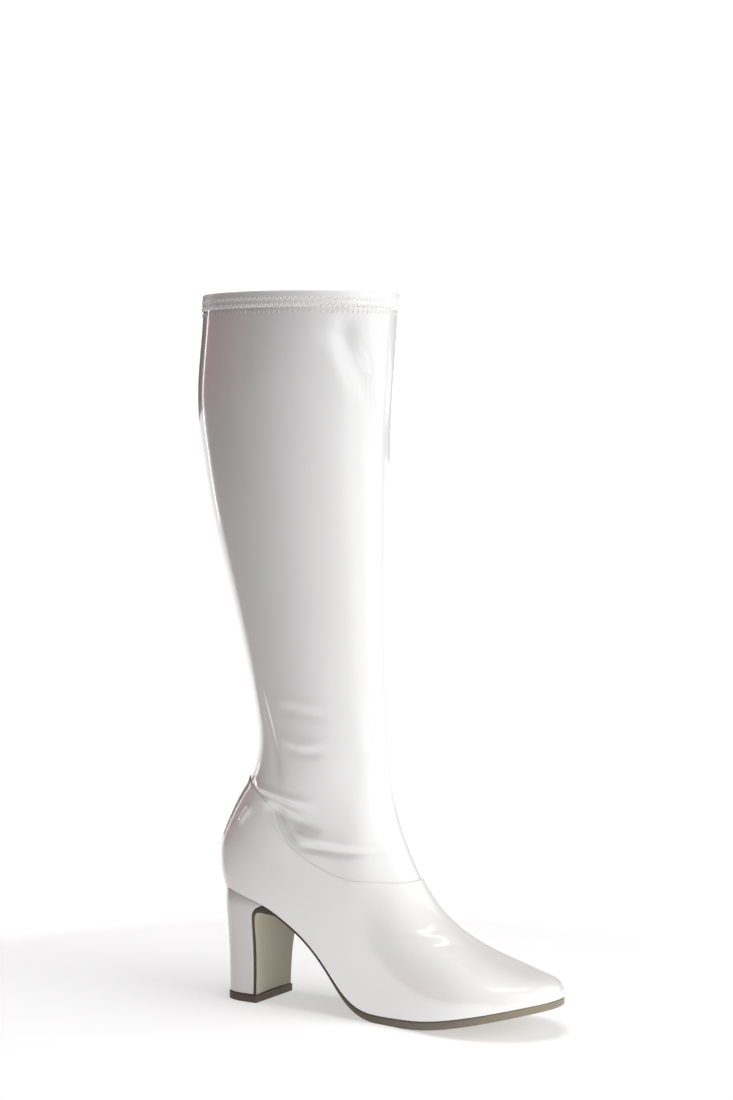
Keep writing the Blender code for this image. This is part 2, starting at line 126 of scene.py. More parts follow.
# Fine edges, which the solids leave square
EDGE_ROUND = 0.0008  # upper at the lap and at the sole
EDGE_ROLL = 0.0006  # how far the upper rolls in at the sole
SOLE_ROUND = 0.0007
FLAP_ROUND = 0.6 * SOLE_ROUND
THIN_ROUND = 0.3  # most of the sole's thickness that a corner takes
HEEL_ROUND = 0.0004
HEEL_PLAIN = (0.01, 0.985)  # rises of the heel block between its turned edges
TOP_PIECE_ROUND = 0.0005
TOP_PIECE_BENDS = (0.0, 0.35, 0.7, 1.0)  # shares of a quarter turn

# Lap of the upper over the shaft. Depths run down from the seam.
LAP_TUCK = 0.0035  # how far the shaft runs on under the lap
LAP_LIP = 0.0001  # the edge's height over the skin
LAP_UNDER = 0.00006  # the inner face's height over the skin
LAP_DEPTHS = (0.0002, LAP_TUCK + 0.0008)  # the inner face's start and end
LAP_CLOSED = LAP_TUCK + 0.003  # where it has turned in to the lining
SHAFT_SINK = 0.00004  # how far under the skin the shaft lies, up to SINK_LEVEL
SINK_LEVEL = 0.56

# Stitches of the hem. Depths run down from the rim.
HEM_STITCHES = 112
THREAD_SPAN = (0.06, 0.94)  # share of a stitch's length that its thread takes
THREAD_RISE = 1.3  # radii that its middle rises by
THREAD_DIP = 0.7  # radii that its ends lie under
THREAD_ENDS = 0.35  # share of the radius at its ends
ZIGZAG_RADIUS = 0.00025
TICK_RADIUS = 0.00016
TICK_LIFT = 0.00004
TICK_DEPTHS = (0.0117, 0.0146)
COLLAR_PLACE = (0.98, 1.5)  # level and turn where the collar is measured
STITCH_LEVEL = 0.97

# Counts of the meshes
TURNS = 320  # columns of a shell
COLUMN_TURNS = np.arange(TURNS) * 2 * math.pi / TURNS
UPPER_ROWS = 96
UPPER_LINING_ROWS = 40
ANKLE_ROWS = 60
LEG_ROWS = 92
HEM_ROWS = 8
RIM_ROWS = 10
LEG_LINING_ROWS = 56
EDGE_ROWS = 6
CORNER_ROWS = 5
HEEL_ROWS = 70
HEEL_TURNS = 40
FLAP_ROWS = 40
FOREPART_ROWS = 150
ACROSS = 17
RIDGE_SAMPLES = 8000
CREASE_STEPS = 48
THREAD_STEPS = 6
THREAD_SIDES = 6

# Meshes and finishes
CREASE_REACH = 4  # widths within which a crease still counts
CREASE_FADE = 0.35  # share of its length over which it fades at each end
WELD_DISTANCE = 1e-7
SHARP_ANGLE = math.radians(60)
GRAIN_DEPTH = 0.0002

ANKLE_HEIGHT = SEAT_HEIGHT + SHANK_THICKNESS + ANKLE_RISE
LEG_RISE = BOOT_HEIGHT - ANKLE_HEIGHT


def table(columns, rows):
    """The rows as a dictionary with an array for each named column."""
    return dict(zip(columns.split(), np.array(rows, float).T))


# Underside of the sole. along: share of FOOT_LENGTH. heel, toe: shares of SEAT_HEIGHT and TOE_SPRING.
SOLE_LINE = table("along heel toe", [
    (0.000, 1.000, 0.000),
    (0.080, 0.953, 0.000),
    (0.139, 0.903, 0.000),
    (0.189, 0.849, 0.000),
    (0.248, 0.743, 0.000),
    (0.298, 0.628, 0.000),
    (0.342, 0.493, 0.000),
    (0.382, 0.338, 0.000),
    (0.416, 0.196, 0.000),
    (0.451, 0.086, 0.000),
    (0.486, 0.026, 0.000),
    (0.525, 0.000, 0.000),
    (0.566, -0.004, -0.004),
    (0.615, 0.000, 0.000),
    (0.675, 0.000, 0.071),
    (0.743, 0.000, 0.231),
    (0.813, 0.000, 0.440),
    (0.893, 0.000, 0.692),
    (0.953, 0.000, 0.879),
    (1.000, 0.000, 1.000),
])

# Sole thickness. full: 0 for SHANK_THICKNESS to 1 for FOREPART_THICKNESS.
SOLE_BODY = table("along full", [
    (0.00, 0.00),
    (0.19, 0.00),
    (0.30, 0.09),
    (0.42, 0.46),
    (0.53, 0.91),
    (0.62, 1.00),
    (0.82, 0.94),
    (1.00, 0.80),
])

# Feather line from above. turn: 0 at the heel's back, 180 at the toe tip. outer, inner: half
# breadths as shares of SEAT_BREADTH behind the waist and of BALL_BREADTH before it.
FEATHER = table("turn outer inner", [
    (-20, -0.316, -0.316),
    (-10, -0.167, -0.167),
    (0, 0.000, 0.000),
    (10, 0.167, 0.167),
    (20, 0.316, 0.316),
    (30, 0.425, 0.421),
    (40, 0.484, 0.477),
    (60, 0.502, 0.481),
    (80, 0.440, 0.396),
    (95, 0.410, 0.345),
    (110, 0.461, 0.408),
    (125, 0.508, 0.489),
    (140, 0.438, 0.463),
    (155, 0.297, 0.320),
    (168, 0.149, 0.158),
    (180, 0.000, 0.000),
    (192, -0.149, -0.158),
])

# Ridge of the foot from the toe tip up to the ankle. rise: share of the way from the feather
# line to the ankle's height.
RIDGE = table("along rise", [
    (1.000, 0.000),
    (1.002, 0.038),
    (0.979, 0.091),
    (0.926, 0.147),
    (0.851, 0.218),
    (0.773, 0.295),
    (0.702, 0.380),
    (0.640, 0.478),
    (0.595, 0.583),
    (0.558, 0.701),
    (0.525, 0.836),
    (0.502, 0.993),
])

# Back of the heel from the seat up to the ankle. rise: share of ANKLE_RISE.
COUNTER = table("along rise", [
    (0.000, 0.000),
    (-0.011, 0.121),
    (-0.016, 0.273),
    (-0.011, 0.439),
    (0.011, 0.636),
    (0.041, 0.833),
    (0.074, 1.015),
])

# Leg. rise: share of LEG_RISE. middle: share of FOOT_LENGTH. depth, breadth: shares of the collar's.
LEG = table("rise middle depth breadth", [
    (0.076, 0.298, 0.700, 0.649),
    (0.168, 0.288, 0.696, 0.676),
    (0.294, 0.267, 0.753, 0.739),
    (0.421, 0.245, 0.825, 0.820),
    (0.563, 0.222, 0.909, 0.919),
    (0.690, 0.208, 0.963, 0.982),
    (0.769, 0.203, 0.992, 1.000),
    (0.864, 0.210, 1.000, 1.009),
    (0.943, 0.219, 0.996, 1.000),
    (1.000, 0.224, 1.000, 1.000),
])

# Half breadth of the ankle below the leg's first row, as a share of the collar's breadth.
ANKLE = table("rise breadth", [
    (-0.259, 0.595),
    (-0.133, 0.604),
    (-0.022, 0.622),
])

# Where each level of the skin meets the front and back lines: ridge and counter are shares of
# those lines up to the ankle, leg is the share of the lines above it.
LEVELS = table("level ridge counter leg", [
    (0.00, 0.000, 0.000, 0.000),
    (0.06, 0.048, 0.096, 0.000),
    (0.12, 0.139, 0.192, 0.000),
    (0.18, 0.257, 0.288, 0.000),
    (0.24, 0.400, 0.390, 0.000),
    (0.30, 0.556, 0.507, 0.000),
    (0.36, 0.706, 0.644, 0.000),
    (0.42, 0.856, 0.820, 0.000),
    (0.48, 1.000, 1.000, 0.015),
    (0.56, 1.000, 1.000, 0.130),
    (0.66, 1.000, 1.000, 0.340),
    (0.80, 1.000, 1.000, 0.640),
    (1.00, 1.000, 1.000, 1.000),
])

# Seam where the foot part laps the shaft. level: height of the seam on the skin.
SEAM = table("turn level", [
    (-20, 0.478),
    (0, 0.482),
    (20, 0.478),
    (45, 0.466),
    (60, 0.450),
    (72, 0.418),
    (81, 0.358),
    (90, 0.332),
    (105, 0.330),
    (130, 0.342),
    (155, 0.347),
    (180, 0.350),
    (205, 0.347),
])

# Heel block from its base up to the seat. back, breadth and front run from the base at 0 to the
# seat at 1, and seat says how far the outline has turned from the base's into the foot's.
HEEL = table("rise back front breadth seat", [
    (0.00, 0.00, 0.00, 0.00, 0.00),
    (0.20, 0.01, 0.04, 0.02, 0.02),
    (0.40, 0.08, 0.09, 0.10, 0.08),
    (0.60, 0.22, 0.16, 0.28, 0.24),
    (0.80, 0.50, 0.25, 0.58, 0.55),
    (0.92, 0.80, 0.50, 0.85, 0.84),
    (1.00, 1.00, 1.00, 1.00, 1.00),
])
BASE_SQUARENESS = 3.6

# Tail of the sole down the breast. slope: degrees that its face has turned from facing forward
# towards facing down. depth: share of FLAP_THICKNESS.
FLAP = table("rise slope depth", [
    (0.00, 0, 1.0),
    (0.20, 0, 1.0),
    (0.40, 1, 1.0),
    (0.60, 3, 1.0),
    (0.80, 10, 1.0),
    (0.92, 55, 1.4),
])

# Turned edge of the hem, from under it to its face. above: from the hem's line. out: over the skin.
HEM_FOLD = table("above out", [
    (-0.0012, -0.00010),
    (-0.0005, -0.00022),
    (0.0000, 0.00000),
    (0.0002, 0.00030),
    (0.0006, HEM_STEP),
])

# Rows of zigzag on the hem, from the edge to the middle of their diamonds, under the rim.
ZIGZAG = table("edge middle", [
    (0.0036, 0.0069),
    (0.0108, 0.0075),
])

# Creases, each a line on the skin through three places given by turn in degrees and level. height
# and width are metres, and a trough's height is negative.
CREASES = table("turn_a level_a turn_b level_b turn_c level_c height width", [
    # Fold over the back of the lap, its trough, and the pocket under it
    (44, 0.476, 74, 0.459, 114, 0.453, 0.0017, 0.0026),
    (54, 0.460, 80, 0.446, 100, 0.432, -0.0017, 0.0023),
    (66, 0.436, 86, 0.418, 110, 0.410, -0.0028, 0.0052),
    (64, 0.452, 79, 0.404, 96, 0.354, -0.0024, 0.0046),
    # Upright crease over the back of the ankle
    (58, 0.625, 66, 0.540, 82, 0.466, -0.0014, 0.0036),
    # Fold across the front of the ankle and its trough
    (86, 0.366, 128, 0.400, 178, 0.384, 0.0015, 0.0025),
    (84, 0.347, 112, 0.376, 142, 0.390, -0.0019, 0.0021),
    (84, 0.380, 100, 0.392, 120, 0.412, 0.0009, 0.0027),
    # Faint wrinkles of the lower leg
    (72, 0.590, 100, 0.588, 132, 0.580, 0.0006, 0.0036),
    (72, 0.581, 100, 0.578, 126, 0.571, -0.0006, 0.0032),
    (70, 0.558, 94, 0.540, 128, 0.548, 0.0007, 0.0036),
    (76, 0.548, 96, 0.530, 120, 0.538, -0.0007, 0.0032),
    # Inner side of the ankle, which the photograph doesn't show
    (316, 0.474, 288, 0.460, 254, 0.452, 0.0012, 0.0028),
    (300, 0.452, 280, 0.442, 262, 0.430, -0.0011, 0.0024),
    (272, 0.366, 236, 0.398, 190, 0.386, 0.0009, 0.0026),
    (270, 0.350, 246, 0.378, 222, 0.390, -0.0010, 0.0021),
    (284, 0.572, 258, 0.566, 232, 0.572, 0.0004, 0.0034),
    # Soft dents below the collar
    (144, 0.985, 151, 0.930, 180, 0.860, -0.0026, 0.0085),
    (214, 0.985, 236, 0.930, 250, 0.850, -0.0012, 0.0100),
    # Pinch at the back of the counter
    (54, 0.434, 48, 0.392, 42, 0.346, 0.0012, 0.0024),
    # Flex of the vamp
    (120, 0.262, 144, 0.252, 170, 0.260, 0.0005, 0.0034),
    (122, 0.242, 146, 0.233, 170, 0.240, -0.0004, 0.0036),
])

# Soft boxes. bearing: degrees round the boot from the camera, rising to its right. distance and
# height: of the box. aim: height that it faces. lights: 1 where it lights the boot and isn't
# mirrored in it, and 0 where it is only mirrored.
LIGHTS = table("bearing distance height width tall power aim lights", [
    # The key light on the right, and one over it for the leg
    (56, 1.60, 0.48, 0.90, 1.10, 10.4, 0.25, 1),
    (54, 1.50, 1.00, 1.00, 1.40, 4.20, 0.42, 1),
    # Overhead, and low before the forepart
    (35, 0.12, 2.20, 0.90, 0.90, 22.0, 0.25, 1),
    (-2, 0.27, 0.01, 0.22, 0.18, 0.32, 0.05, 1),
    # Over the toe, on the right, and a strip behind on the left
    (35, 0.50, 2.00, 1.10, 0.40, 2.20, 0.25, 0),
    (98, 1.30, 0.60, 1.20, 1.50, 3.40, 0.25, 0),
    (-135, 1.40, 0.80, 0.09, 1.60, 1.50, 0.25, 0),
])

# Glows of the sky round the boot. bearing and rise: from the camera and over the horizon. full and
# gone: degrees from there at which a glow starts to fade and has faded.
SKY = table("bearing rise full gone red green blue", [
    # Dim studio and overhead
    (0, 90, 178, 180, 0.040, 0.030, 0.031),
    (0, 90, 24, 42, 0.25, 0.25, 0.25),
    # Before the boot, on the right and high on the left
    (35, 18, 18, 50, 0.66, 0.66, 0.66),
    (84, 14, 26, 52, 0.45, 0.45, 0.45),
    (-50, 55, 14, 42, 0.10, 0.10, 0.10),
    # Behind it, and a mauve wall on the left
    (150, 5, 20, 40, 0.38, 0.38, 0.38),
    (181, 0, 11, 20, 1.00, 1.00, 1.00),
    (-104, 4, 33, 37, 0.25, 0.08, 0.092),
])

# Glows of the far floor, with the columns of the sky's
FAR_FLOOR = table("bearing rise full gone red green blue", [
    (182, 0, 38, 52, 1.10, 1.10, 1.10),
    (105, 0, 35, 75, 0.55, 0.55, 0.55),
])


def rows_of(columns):
    """The rows of a table, each as a dictionary."""
    return [dict(zip(columns, row)) for row in zip(*columns.values())]


def curve(knots, values):
    """A natural cubic spline through the knots, held at its end values outside them."""
    x = np.asarray(knots, float)
    y = np.asarray(values, float)
    step = np.diff(x)
    last = len(x) - 1
    system = np.eye(last + 1)
    slopes = np.zeros(last + 1)
    for i in range(1, last):
        system[i, i - 1 : i + 2] = step[i - 1], 2 * (step[i - 1] + step[i]), step[i]
        slopes[i] = 6 * ((y[i + 1] - y[i]) / step[i] - (y[i] - y[i - 1]) / step[i - 1])
    bend = np.linalg.solve(system, slopes)

    def value(t):
        t = np.clip(np.asarray(t, float), x[0], x[-1])
        i = np.clip(np.searchsorted(x, t) - 1, 0, last - 1)
        before = x[i + 1] - t
        after = t - x[i]
        cubic = (bend[i] * before**3 + bend[i + 1] * after**3) / (6 * step[i])
        start = (y[i] / step[i] - bend[i] * step[i] / 6) * before
        end = (y[i + 1] / step[i] - bend[i + 1] * step[i] / 6) * after
        return cubic + start + end

    return value


def ease(t, start, end):
    """A smooth step from 0 at start to 1 at end."""
    t = np.clip((np.asarray(t, float) - start) / (end - start), 0, 1)
    return t * t * (3 - 2 * t)


def run_of(x, z):
    """Lengths along a line of points, and the line as two curves of that length."""
    length = np.concatenate([[0], np.cumsum(np.hypot(np.diff(x), np.diff(z)))])
    return length, curve(length, x), curve(length, z)


sole_line = curve(
    SOLE_LINE["along"] * FOOT_LENGTH,
    SOLE_LINE["heel"] * SEAT_HEIGHT + SOLE_LINE["toe"] * TOE_SPRING,
)
sole_body = curve(
    SOLE_BODY["along"] * FOOT_LENGTH,
    SHANK_THICKNESS + SOLE_BODY["full"] * (FOREPART_THICKNESS - SHANK_THICKNESS),
)


def feather_height(x):
    """Height at which the upper meets the sole."""
    x = np.clip(x, 0, FOOT_LENGTH)
    return sole_line(x) + sole_body(x)


feather_spread = SEAT_BREADTH + (BALL_BREADTH - SEAT_BREADTH) * ease(FEATHER["turn"], *WAIST_TURNS)
outer_half = curve(FEATHER["turn"], FEATHER["outer"] * feather_spread)
inner_half = curve(FEATHER["turn"], FEATHER["inner"] * feather_spread)


def turn_at(x):
    """Turn of the feather line, in degrees, at a length from the heel's back."""
    return np.degrees(np.arccos(np.clip(1 - 2 * x / FOOT_LENGTH, -1, 1)))


def feather_half(x, side):
    """Half breadth of the feather line. side is -1 on the outer side and 1 on the inner."""
    return np.where(side < 0, outer_half(turn_at(x)), inner_half(turn_at(x)))


def front_and_back():
    """Front and back lines of the whole skin as runs: the foot's points, then the leg's."""
    ridge_x = RIDGE["along"] * FOOT_LENGTH
    foot_z = feather_height(ridge_x)
    ridge_z = foot_z + RIDGE["rise"] * (ANKLE_HEIGHT - foot_z)
    counter_x = COUNTER["along"] * FOOT_LENGTH
    counter_z = SEAT_HEIGHT + SHANK_THICKNESS + COUNTER["rise"] * ANKLE_RISE
    middle = LEG["middle"] * FOOT_LENGTH
    half = LEG["depth"] * COLLAR_DEPTH / 2
    leg_z = ANKLE_HEIGHT + LEG["rise"] * LEG_RISE
    front = run_of(np.append(ridge_x, middle + half), np.append(ridge_z, leg_z))
    back = run_of(np.append(counter_x, middle - half), np.append(counter_z, leg_z))
    return front, back


(front_run, front_x, front_z), (back_run, back_x, back_z) = front_and_back()
ridge_end = front_run[len(RIDGE["rise"]) - 1]
counter_end = back_run[len(COUNTER["rise"]) - 1]
front_level = curve(
    LEVELS["level"], LEVELS["ridge"] * ridge_end + LEVELS["leg"] * (front_run[-1] - ridge_end)
)
back_level = curve(
    LEVELS["level"], LEVELS["counter"] * counter_end + LEVELS["leg"] * (back_run[-1] - counter_end)
)
leg_half = curve(
    ANKLE_HEIGHT + np.append(ANKLE["rise"], LEG["rise"]) * LEG_RISE,
    np.append(ANKLE["breadth"], LEG["breadth"]) * COLLAR_BREADTH / 2,
)
seam_level = curve(SEAM["turn"], SEAM["level"])


def ridge_line():
    """The foot's ridge from the toe back, as rising lengths and their heights."""
    run = np.linspace(0, front_run[-1], RIDGE_SAMPLES)
    along = front_x(run)
    tip = np.argmax(along)
    end = tip + np.argmin(along[tip:]) + 1
    return along[tip:end][::-1], front_z(run[tip:end][::-1])


RIDGE_X, RIDGE_Z = ridge_line()
ANKLE_FRONT = RIDGE_X[0]


def foot_half(x, z, back, front, side):
    """Half breadth of the foot at a point of its side, under its rounded ridge. The feather
    line's outline follows the heel's swell, back, and the toe's, front, at that level."""
    half_way = FOOT_LENGTH / 2
    heel_swell = back * np.clip(1 - x / half_way, 0, 1)
    toe_swell = np.maximum(front - FOOT_LENGTH, 0) * np.clip(x / half_way - 1, 0, 1)
    along = np.clip(x - heel_swell - toe_swell, 0, FOOT_LENGTH)
    foot = feather_height(x)
    depth = np.maximum(np.interp(x, RIDGE_X, RIDGE_Z) - foot, GAP)
    up = np.clip((z - foot) / depth, 0, 1)
    toe = ease(x, TOE_POWER_START * FOOT_LENGTH, FOOT_LENGTH)
    power = ARCH_POWER + (TOE_POWER - ARCH_POWER) * toe
    swell = 1 + SIDE_SWELL * np.sin(math.pi * up)
    return feather_half(along, side) * swell * np.sqrt(1 - up**power)


def skin(level, turn):
    """The boot's outer skin. level is 0 at the sole and 1 at the collar, and turn goes round
    from the heel's back, 0, by the outer side and the front, pi, to the inner side."""
    level, turn = np.broadcast_arrays(level, np.mod(turn, 2 * math.pi))
    share = (1 - np.cos(turn)) / 2
    side = np.where(turn <= math.pi, -1.0, 1.0)
    back, back_up = back_x(back_level(level)), back_z(back_level(level))
    front, front_up = front_x(front_level(level)), front_z(front_level(level))
    x = back + (front - back) * share
    level_z = back_up + (front_up - back_up) * share
    back_rise = back_up - feather_height(back)
    front_rise = front_up - feather_height(front)
    sole_z = feather_height(x) + back_rise + (front_rise - back_rise) * share
    hug = 1 - ease(level, 0, HUG_END)
    z = hug * sole_z + (1 - hug) * level_z
    round_half = leg_half(z) * 2 * np.sqrt(np.clip(share * (1 - share), 0, 1))
    leg = ease(level, *LEG_BLEND)
    reach = ANKLE_SPREAD * np.exp(-(((x - ANKLE_FRONT) / SPREAD_REACH) ** 2))
    reach = np.minimum(reach, np.minimum(front - x, x - back) / 2)
    foot = sum(
        weight * foot_half(x + shift * reach, z, back, front, side) for shift, weight in SPREAD_WEIGHTS
    )
    y = side * ((1 - leg) * foot + leg * round_half)
    return np.stack([x - ORIGIN, y, z], -1)


def proud(level, turn, out):
    """The skin moved outwards along its normal by a distance."""
    step = 0.001
    turned = 0.02
    higher, lower = np.minimum(level + step, 1), np.maximum(level - step, 0)
    up = skin(higher, turn) - skin(lower, turn)
    round_it = skin(level, turn + turned) - skin(level, turn - turned)
    normal = np.cross(round_it, up)
    normal /= np.linalg.norm(normal, axis=-1, keepdims=True)
    return skin(level, turn) + normal * np.asarray(out)[..., None]


def seam_at(turn):
    """Level of the lap seam, which is the same on both sides."""
    return seam_level(np.degrees(math.pi - abs(turn - math.pi)))


def level_pace(level, turn):
    """Metres along the skin for one whole step of level."""
    small = 1e-4
    level = np.clip(level, small, 1 - small)
    return np.linalg.norm(skin(level + small, turn) - skin(level - small, turn), axis=-1) / (2 * small)


def collar_pace():
    """The same at the collar."""
    level, turn = np.array(COLLAR_PLACE)
    return level_pace(level, turn)


def relief(level, turn):
    """Height of the creases over the smooth skin, in metres."""
    places = skin(level, turn)
    height = np.zeros(places.shape[:-1])
    steps = np.linspace(0, 1, CREASE_STEPS)
    early, late = (1 - steps) * (1 - 2 * steps), steps * (2 * steps - 1)
    middle = 4 * steps * (1 - steps)
    for row in rows_of(CREASES):
        turns = early * row["turn_a"] + middle * row["turn_b"] + late * row["turn_c"]
        levels = early * row["level_a"] + middle * row["level_b"] + late * row["level_c"]
        line = skin(levels, np.radians(turns))
        reach = CREASE_REACH * row["width"]
        low, high = line.min(0) - reach, line.max(0) + reach
        near = np.all((places > low) & (places < high), axis=-1)
        gaps = np.linalg.norm(places[near][:, None, :] - line[None], axis=-1)
        nearest = gaps.argmin(1)
        share = steps[nearest]
        fade = ease(share, 0, CREASE_FADE) * (1 - ease(share, 1 - CREASE_FADE, 1))
        height[near] += row["height"] * fade * np.exp(-((gaps.min(1) / row["width"]) ** 2))
    return height


def ring_faces(rows, columns):
    """Quads of a grid that closes on itself both round its columns and from last row to first."""
    row, column = np.meshgrid(np.arange(rows), np.arange(columns), indexing="ij")
    next_row, next_column = (row + 1) % rows, (column + 1) % columns
    corners = [(row, column), (row, next_column), (next_row, next_column), (next_row, column)]
    return np.stack([a * columns + b for a, b in corners], -1).reshape(-1, 4)


def tube_faces(rows, columns):
    """The same without the faces from the last row to the first."""
    return ring_faces(rows, columns)[: (rows - 1) * columns]


def add_piece(name, points, faces, finishes, indices=None, caps=(), weld=False):
    """A smooth piece of the boot that rides on its body. finishes are its materials, indices says
    which face takes which, caps are lists of points that close its ends, and weld joins the
    points of a ring that has shrunk to a line."""
    mesh = bpy.data.meshes.new(name)
    polygons = faces.tolist() + [list(cap) for cap in caps]
    mesh.from_pydata(points.reshape(-1, 3).tolist(), [], polygons)
    for finish in finishes:
        mesh.materials.append(finish)
    if indices is not None:
        chosen = np.concatenate([indices, np.zeros(len(caps), int)]).astype(np.int32)
        mesh.polygons.foreach_set("material_index", chosen)
    if weld:
        made = bmesh.new()
        made.from_mesh(mesh)
        bmesh.ops.remove_doubles(made, verts=made.verts, dist=WELD_DISTANCE)
        bmesh.ops.recalc_face_normals(made, faces=made.faces)
        made.to_mesh(mesh)
        made.free()
    mesh.shade_smooth()
    mesh.set_sharp_from_angle(angle=SHARP_ANGLE)
    piece = bpy.data.objects.new(name, mesh)
    bpy.context.scene.collection.objects.link(piece)
    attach(piece, "root")
    return piece


def level_rows(start, end, shares, out, finish):
    """Rows of a shell at shares of the way from one level to another."""
    return [(start + (end - start) * share, out, finish) for share in shares]


def shell_piece(name, rows, finishes):
    """A closed shell from rows of (levels round it, how far out, which finish)."""
    levels = np.clip([np.broadcast_to(row[0], TURNS) for row in rows], 0, 1)
    out = np.array([np.broadcast_to(row[1], TURNS) for row in rows])
    turns = np.broadcast_to(COLUMN_TURNS, levels.shape)
    points = proud(levels, turns, out + relief(levels, turns))
    faces = ring_faces(len(rows), TURNS)
    chosen = np.array([row[2] for row in rows], int)
    return add_piece(name, points, faces, finishes, np.repeat(chosen, TURNS))


def make_upper():
    """The foot part: rolled under at the sole, and lapped over the shaft at the seam."""
    seam = seam_at(COLUMN_TURNS)
    seam_pace = level_pace(seam, COLUMN_TURNS)
    foot_pace = level_pace(np.zeros(TURNS), COLUMN_TURNS)
    start = EDGE_ROUND / foot_pace
    end = seam - EDGE_ROUND / seam_pace
    rows = []
    for down in np.linspace(0, 1, EDGE_ROWS):
        rows.append((start * down, LAP_STEP - EDGE_ROLL * (1 - down) ** 2, 0))
    rows += level_rows(start, end, np.linspace(0, 1, UPPER_ROWS)[1:], LAP_STEP, 0)
    for turned in np.linspace(0, math.pi / 2, EDGE_ROWS)[1:]:
        level = seam - EDGE_ROUND * (1 - math.sin(turned)) / seam_pace
        rows.append((level, LAP_LIP + (LAP_STEP - LAP_LIP) * math.cos(turned), 0))
    rows += [(seam - depth / seam_pace, LAP_UNDER, 1) for depth in LAP_DEPTHS]
    top = seam - LAP_CLOSED / seam_pace
    rows += level_rows(0, top, np.linspace(1, 0, UPPER_LINING_ROWS), LAP_STEP - UPPER_WALL, 1)
    made = shell_piece("upper_patent", rows, [patent_white(), lining_cloth()])
    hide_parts("upper")


def make_shaft():
    """The leg: tucked under the lap below, and turned over in a hem at the collar."""
    seam = seam_at(COLUMN_TURNS)
    start = seam - LAP_TUCK / level_pace(seam, COLUMN_TURNS)
    hem = np.interp(1 - HEM_HEIGHT / LEG_RISE, LEVELS["leg"], LEVELS["level"])
    pace = collar_pace()
    rim = (HEM_STEP + SHAFT_WALL) / 2
    top = 1 - rim / pace
    rows = level_rows(start, SINK_LEVEL, np.linspace(0, 1, ANKLE_ROWS), -SHAFT_SINK, 0)
    rows += level_rows(SINK_LEVEL, hem, np.linspace(0, 1, LEG_ROWS)[1:-1], 0, 0)
    for row in rows_of(HEM_FOLD):
        rows.append((hem + row["above"] / pace, row["out"], 2 if row["above"] > 0 else 0))
    rows += level_rows(hem, top, np.linspace(0, 1, HEM_ROWS)[1:], HEM_STEP, 2)
    for turned in np.linspace(0, math.pi, RIM_ROWS)[1:]:
        level = 1 - rim * (1 - math.sin(turned)) / pace
        rows.append((level, HEM_STEP - rim * (1 - math.cos(turned)), 2))
    rows += level_rows(start, top, np.linspace(1, 0, LEG_LINING_ROWS)[1:], -SHAFT_WALL, 1)
    finishes = [stretch_patent(), lining_cloth(), hem_patent_painted_light()]
    made = shell_piece("shaft_patent", rows, finishes)
    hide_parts("shaft")


def threads(depths, turns, radius, lift):
    """Rings of points round short threads on the hem. depths and turns hold the threads' two ends,
    and the threads dip into the hem at both."""
    run = np.linspace(*THREAD_SPAN, THREAD_STEPS)
    arch = np.sin(math.pi * np.linspace(0, 1, THREAD_STEPS)) ** 0.5
    level = 1 - (depths[0] + (depths[1] - depths[0]) * run) / collar_pace()
    turn = turns[0] + (turns[1] - turns[0]) * run
    height = lift + radius * (THREAD_RISE * arch - THREAD_DIP)
    level, turn, height = np.broadcast_arrays(level, turn, height)
    line = proud(level, turn, height).reshape(-1, THREAD_STEPS, 3)
    outward = proud(level, turn, height + radius).reshape(-1, THREAD_STEPS, 3) - line
    outward /= np.linalg.norm(outward, axis=-1, keepdims=True)
    along = np.gradient(line, axis=1)
    along /= np.linalg.norm(along, axis=-1, keepdims=True)
    across = np.cross(along, outward)
    angle = (np.arange(THREAD_SIDES) * 2 * math.pi / THREAD_SIDES)[:, None]
    ring = np.cos(angle) * outward[:, :, None] + np.sin(angle) * across[:, :, None]
    thick = radius * (THREAD_ENDS + (1 - THREAD_ENDS) * arch)
    return line[:, :, None] + ring * thick[:, None, None]


def make_stitches():
    """Two rows of zigzag round the hem, which mirror each other in a row of diamonds, and a row of
    short upright stitches under its edge."""
    turn = np.interp(
        np.arange(HEM_STITCHES * 2 + 1) / (HEM_STITCHES * 2),
        np.linspace(0, 1, TURNS + 1),
        np.append(even_turns(), 2 * math.pi),
    )
    row, place, _ = np.ogrid[0:2, 0 : HEM_STITCHES * 2, 0:1]
    edge, middle = ZIGZAG["edge"][row], ZIGZAG["middle"][row]
    outwards = place % 2 == 0
    depths = np.where(outwards, middle, edge), np.where(outwards, edge, middle)
    zigzags = threads(depths, (turn[place], turn[place + 1]), ZIGZAG_RADIUS, HEM_STEP)
    upright = turn[1::2][:, None]
    ticks = threads(TICK_DEPTHS, (upright, upright), TICK_RADIUS, TICK_LIFT)
    points = np.concatenate([zigzags, ticks])
    size = THREAD_STEPS * THREAD_SIDES
    first = np.arange(len(points))[:, None] * size
    faces = (first[:, :, None] + tube_faces(THREAD_STEPS, THREAD_SIDES)).reshape(-1, 4)
    near_caps = first + np.arange(THREAD_SIDES)[::-1]
    far_caps = first + size - THREAD_SIDES + np.arange(THREAD_SIDES)
    caps = np.concatenate([near_caps, far_caps]).tolist()
    add_piece("hem_stitches", points, faces, [thread()], caps=caps)


def even_turns():
    """Turns that are evenly spaced along the collar."""
    turn = np.linspace(0, 2 * math.pi, TURNS + 1)
    line = skin(np.full(TURNS + 1, STITCH_LEVEL), turn)
    length = np.concatenate([[0], np.cumsum(np.linalg.norm(np.diff(line, axis=0), axis=1))])
    return np.interp(np.arange(TURNS) / TURNS * length[-1], length, turn)


# The heel block's columns as curves of its rise
heel_form = {name: curve(HEEL["rise"], HEEL[name]) for name in HEEL if name != "rise"}


def heel_front(rise):
    """Length from the heel's back to the block's breast."""
    base = HEEL_SETBACK + BASE_DEPTH - FLAP_THICKNESS - GAP
    return base + heel_form["front"](rise) * (BREAST_LENGTH - base)


